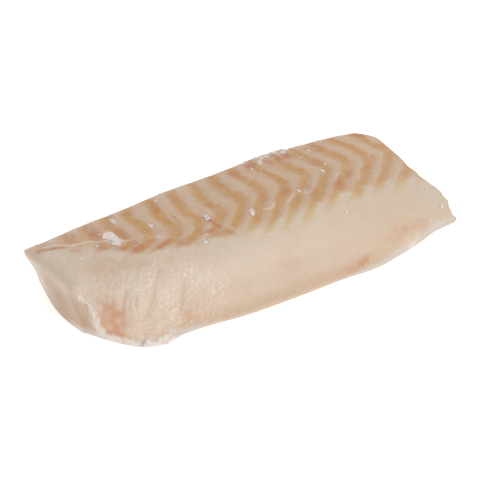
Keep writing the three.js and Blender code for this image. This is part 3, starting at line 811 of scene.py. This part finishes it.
# %% [markdown]
# ## Frost crumbs
# Crumbs of ice from the freezer lie on the top and stick to the edges. Each crumb is a heap of flat
# shards, more of them the larger it is. A shard is a ball whose surface is moved in and out by a few
# drawn waves. One function makes hundreds of them at once as whole arrays, which keeps them light.

# %% Shards
# Each crumb is [x, y, length, width, height, turn in degrees]
CRUMBS = [
    (-68.6, 18.1, 7, 6.6, 1.6, 80), (-67.6, 13.1, 4.5, 4.5, 1.6, 0), (-68.8, 9.6, 5, 5, 1.5, 20),
    (-65.6, 10.3, 2.5, 2, 1.2, 40), (-60.5, 29.3, 6.5, 2, 1.2, 95), (-77.4, 13.4, 3, 1.4, 0.9, 45),
    (-48, 13, 4, 1.8, 1.1, -65), (-51.8, -8.8, 4.2, 1.2, 0.8, -5), (-49.2, 3.4, 2.5, 1.5, 0.7, 60),
    (-21.7, 4.3, 4.2, 3.3, 1.3, 80), (-28.2, -7.4, 2.2, 1.4, 0.8, -30), (-31.4, -11.6, 3.2, 2.2, 1.1, 75),
    (-0.5, -4.2, 4.8, 3, 1.3, 58), (29.2, -0.4, 2.8, 2.4, 1.2, 20), (31.4, -3.2, 3, 1.6, 0.8, 100),
    (27, 33.2, 4.2, 3, 1.2, 60), (33.2, 36.8, 3.5, 2.2, 1.3, 20), (43, 36.6, 4, 3, 1.5, 30),
    (39, 38, 3, 2, 1.4, 0), (50.3, 10.5, 3.2, 2.4, 1.1, -20), (56.1, 16.9, 2.1, 1.5, 0.9, -20),
    (54.8, 4.2, 2.6, 1.6, 0.8, 30), (47.8, 27.5, 3, 1.2, 0.9, 50), (43.7, -21.6, 2.2, 1.8, 0.8, 60),
    (85.9, -26.6, 2.2, 1.4, 0.8, 30), (101.5, -24, 3, 2, 1.1, 30), (-88.6, 8.3, 3.6, 1.6, 0.9, -10)]
SMALL_CRUMBS = [
    (-34.7, 31.9, 2, 1, 0.8, -70), (-15.4, -9.3, 1.6, 0.9, 0.6, 0), (51.8, -12.7, 1.8, 1.3, 0.7, 20),
    (14.8, 24.8, 1.3, 1, 0.6, 0), (19.4, 28.5, 3.6, 0.8, 0.6, 75), (55.4, 30.7, 3.4, 1, 0.7, 85),
    (90.4, -29.5, 2, 1.3, 0.7, 20), (82.4, -4.8, 1.4, 1, 0.6, 0), (93.6, -16, 2, 1.4, 0.8, 40),
    (-99, 37, 1.8, 1.3, 1, 60), (20.8, 37.5, 2.2, 1.6, 1, 0), (30, 36.5, 3, 2, 0.9, 0),
    (46, 38, 2.4, 1.7, 1.1, 0), (-71.5, 7.5, 1.6, 1.2, 0.7, 0)]
SHARDS_PER_AREA, FEWEST_SHARDS = 0.5, 4
SHARD_ROUGHNESS, SHARD_LEAN = 0.16, 0.14
# Spread and size of a crumb's shards as shares of its own sizes, and their least size in millimetres
SHARD_SPREAD, SHARD_SIZE, LEAST_SHARD = 0.4, [0.66, 0.66, 0.9], [0.7, 0.6, 0.45]


def shards(centres, ups, sizes, turns, seed, rows=6, columns=12):
    """Many shards at once. Each is a ball of rows by columns with a pole at each end. A corner's distance
    from the middle is 1 plus two waves round it and a little drawn noise, then length, width and height
    stretch it. The surface's normal, leaned by a drawn amount, and a turn about it set its axes."""
    draw = np.random.default_rng(seed)
    count = len(centres)
    polar = np.linspace(0, math.pi, rows + 2)[1:-1]
    spin = np.linspace(0, 2 * math.pi, columns, endpoint=False)
    a, b = (grid.ravel() for grid in np.meshgrid(polar, spin, indexing="ij"))
    start = draw.uniform(0, 2 * math.pi, (2, count, 1))
    grow = 1 + SHARD_ROUGHNESS * np.sin(a) * (np.sin(2 * b + start[0]) + 0.8 * np.sin(3 * b + start[1]))
    noise = 0.4 * draw.uniform(-SHARD_ROUGHNESS, SHARD_ROUGHNESS, (count, len(a) + 2))
    grow = np.concatenate([grow, np.ones((count, 2))], 1) + noise
    ball = np.stack([np.sin(a) * np.cos(b), np.sin(a) * np.sin(b), np.cos(a)], -1)
    ball = np.concatenate([ball, [[0, 0, 1], [0, 0, -1]]])
    local = ball[None] * grow[..., None] * np.asarray(sizes)[:, None, :] / 2
    ups = ups + draw.normal(0, SHARD_LEAN, ups.shape)
    ups = ups / np.linalg.norm(ups, axis=1, keepdims=True)
    side = np.cross(ups, [0.0, -1.0, 0.0])
    side /= np.linalg.norm(side, axis=1, keepdims=True)
    other = np.cross(ups, side)
    c, s = np.cos(turns)[:, None], np.sin(turns)[:, None]
    axis_a, axis_b = side * c + other * s, other * c - side * s
    places = centres[:, None] + local[..., :1] * axis_a[:, None] + local[..., 1:2] * axis_b[:, None]
    places = places + local[..., 2:] * ups[:, None]
    places[..., 2] = np.maximum(places[..., 2], 0.05)
    kinds = tube_faces(rows, columns, len(ball) - 2, len(ball) - 1)
    step = (np.arange(count) * len(ball))[:, None, None]
    return places.reshape(-1, 3), [(kind[None] + step).reshape(-1, kind.shape[1]) for kind in kinds]


def upper_place(x, y):
    """The surface place and normal straight over each given x and y."""
    upper_side = np.flatnonzero(normals[:, 2] > 0.2)
    grid = body_places[upper_side, :2]
    nearest = [upper_side[np.argmin(((grid - spot) ** 2).sum(1))] for spot in np.stack([x, y], 1)]
    return body_places[nearest], normals[nearest]


def crumb_shards(seed):
    """Each crumb's shards: drawn inside its turned ellipse, smaller and lower towards its edge, and lying
    the way the crumb does, give or take."""
    crumb = np.array(CRUMBS + SMALL_CRUMBS, float)
    counts = (FEWEST_SHARDS + SHARDS_PER_AREA * crumb[:, 2] * crumb[:, 3]).astype(int)
    own = np.repeat(crumb, counts, axis=0)
    draw = np.random.default_rng(seed)
    angle, out = draw.uniform(0, 2 * math.pi, len(own)), np.sqrt(draw.uniform(0, 1, len(own)))
    length = SHARD_SPREAD * own[:, 2] * out * np.cos(angle)
    width = SHARD_SPREAD * own[:, 3] * out * np.sin(angle)
    turn = np.radians(own[:, 5])
    x = own[:, 0] + length * np.cos(turn) - width * np.sin(turn)
    y = own[:, 1] + length * np.sin(turn) + width * np.cos(turn)
    spot, up = upper_place(x, y)
    share = (1 - 0.45 * out)[:, None] * draw.uniform(0.7, 1.15, (len(own), 1))
    size = np.maximum(share * (own[:, 2:5] * SHARD_SIZE), LEAST_SHARD)
    lift = 0.2 * size[:, 2:] * draw.uniform(0.3, 1.4, (len(own), 1))
    return shards(spot + up * lift, up, size, turn + draw.normal(0, 0.35, len(own)), seed + 1)


crumb_places, crumb_faces = crumb_shards(31)
print("crumbs:", len(CRUMBS) + len(SMALL_CRUMBS), "and places on their shards:", len(crumb_places))

# %% [markdown]
# ## Fine frost
# Between the crumbs lies a dust of far smaller ones. It is thicker round the crumbs, along the back edge
# and on the thin end, so most grains are drawn near those places. The draw is seeded, so every run
# scatters the same frost.

# %% Frost dust
DUST_NEAR_CRUMBS, DUST_ON_EDGE, DUST_ON_END, DUST_ANYWHERE = 80, 60, 40, 26


def drawn_dust(seed):
    """Drawn x and y: round the crumbs, by the back edge, on the thin end, and anywhere on top."""
    draw = np.random.default_rng(seed)
    crumb = np.array(CRUMBS, float)
    chosen = crumb[draw.integers(0, len(crumb), DUST_NEAR_CRUMBS), :2]
    around_crumbs = chosen + draw.normal(0, 2.8, chosen.shape)
    edge_x = draw.uniform(14, 64, DUST_ON_EDGE)
    edge = np.stack([edge_x, size_at(FAR_EDGE, edge_x) - 1 - draw.exponential(3, DUST_ON_EDGE)], 1)
    end = np.stack([draw.uniform(78, 104, DUST_ON_END), draw.uniform(-34, -12, DUST_ON_END)], 1)
    anywhere = np.stack([draw.uniform(-98, 95, DUST_ANYWHERE), draw.uniform(-14, 38, DUST_ANYWHERE)], 1)
    return np.concatenate([around_crumbs, edge, end, anywhere])


dust = drawn_dust(41)
dust_spot, dust_up = upper_place(dust[:, 0], dust[:, 1])
draw = np.random.default_rng(42)
dust_size = draw.uniform(0.35, 0.9, (len(dust), 1))
dust_size = dust_size * draw.uniform([0.8, 0.7, 0.4], [1.5, 1.0, 0.7], (len(dust), 3))
dust_turn = draw.uniform(0, math.pi, len(dust))
dust_places, dust_faces = shards(dust_spot, dust_up, dust_size, dust_turn, 43, rows=3, columns=6)
frost_places = np.concatenate([crumb_places, dust_places])
frost_faces = crumb_faces + [kind + len(crumb_places) for kind in dust_faces]
frost = make_mesh("frost_crumbs", frost_places, frost_faces)
print("frost:", len(dust), "grains,", len(frost.data.polygons), "faces")

# %% [markdown]
# ## Frost
# Frost is white because it is full of tiny air gaps, and it looks a little grey and see-through where
# it is thin. A pale cloudy colour gives that without real refraction, which would need many samples to
# come out clean. Subsurface is left out here: it turns dark inside shards that grow together.

# %% Frost material


def frost_material():
    """A cloudy white with a fine icy grain."""
    material, board, shader = new_material("frost")
    cloud = board.group(BLOTCHES, "Mask", Scale=500, Low=0.35, High=0.68)
    grain = board.group(BLOTCHES, "Mask", Scale=1800, Low=0.3, High=0.7)
    board.fill(shader, {
        "Base Color": board.layer(srgb(238, 226, 219), srgb(220, 203, 194), cloud),
        "Normal": board.bump(grain, 0.3, 0.0002),
        "Roughness": 0.5,
        "Specular IOR Level": 0.4})
    return material


frost.data.materials.append(frost_material())
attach(frost, "root")
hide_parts("cod_fillet")
print("frost material:", frost.data.materials[0].name)

# %% [markdown]
# ## Floor, light and camera
# The fillet is shown on plain white. A bright even sky lights it from all round, and one broad soft lamp
# from the near right keeps the long side brightest, as in the photograph. The camera stands about a
# metre off with a long lens, so the piece is hardly foreshortened.

# %% Stage
FLOOR_HALF, FLOOR_GLOW = 3.0, 0.45
SKY_STRENGTH, LAMP_WATTS, LAMP_SIZE = 0.78, 4.5, 0.9
LAMP_PLACE, LAMP_AIM = Vector((0.35, -0.95, 0.95)), Vector((0, 0, 0.01))

# A wide white square that glows a little, so that it stays white under the fillet
corners = np.array([(-1, -1, 0), (1, -1, 0), (1, 1, 0), (-1, 1, 0)], float) * FLOOR_HALF
floor_mesh = bpy.data.meshes.new("white_floor")
floor_mesh.from_pydata(corners.tolist(), [], [(0, 1, 2, 3)])
add_object("white_floor", floor_mesh)
floor_material, board, shader = new_material("white_floor")
board.fill(shader, {
    "Base Color": (0.93, 0.93, 0.93, 1),
    "Roughness": 0.9,
    "Specular IOR Level": 0.1,
    "Emission Color": (1, 1, 1, 1),
    "Emission Strength": FLOOR_GLOW})
floor_mesh.materials.append(floor_material)

light = bpy.data.lights.new("near_softbox", "AREA")
light.energy, light.size, light.shape = LAMP_WATTS, LAMP_SIZE, "DISK"
lamp = add_object("near_softbox", light)
lamp.location = LAMP_PLACE
lamp.rotation_euler = (LAMP_AIM - LAMP_PLACE).to_track_quat("-Z", "Y").to_euler()
sky = bpy.data.worlds.new("white_sky")
sky.use_nodes = True
background = sky.node_tree.nodes["Background"].inputs
Board(sky.node_tree).fill(background, {"Color": (1, 1, 1, 1), "Strength": SKY_STRENGTH})
bpy.context.scene.world = sky
bpy.context.scene.view_settings.view_transform = "Standard"
print("sky strength:", SKY_STRENGTH, "lamp watts:", LAMP_WATTS)

# %% Camera
AZIMUTH, ELEVATION = math.radians(-31), math.radians(38)
CAMERA_DISTANCE, LENS = 1.0, 150
CAMERA_AIM = Vector((-0.0053, 0.0, 0.012))
level = math.cos(ELEVATION)
back = Vector((level * math.sin(AZIMUTH), -level * math.cos(AZIMUTH), math.sin(ELEVATION)))
camera = add_object("camera", bpy.data.cameras.new("camera"))
camera.data.lens = LENS
camera.location = CAMERA_AIM + back * CAMERA_DISTANCE
camera.rotation_euler = (-back).to_track_quat("-Z", "Y").to_euler()
camera.data.clip_start = 0.05
bpy.context.scene.camera = camera
print("camera at", [round(v, 3) for v in camera.location])
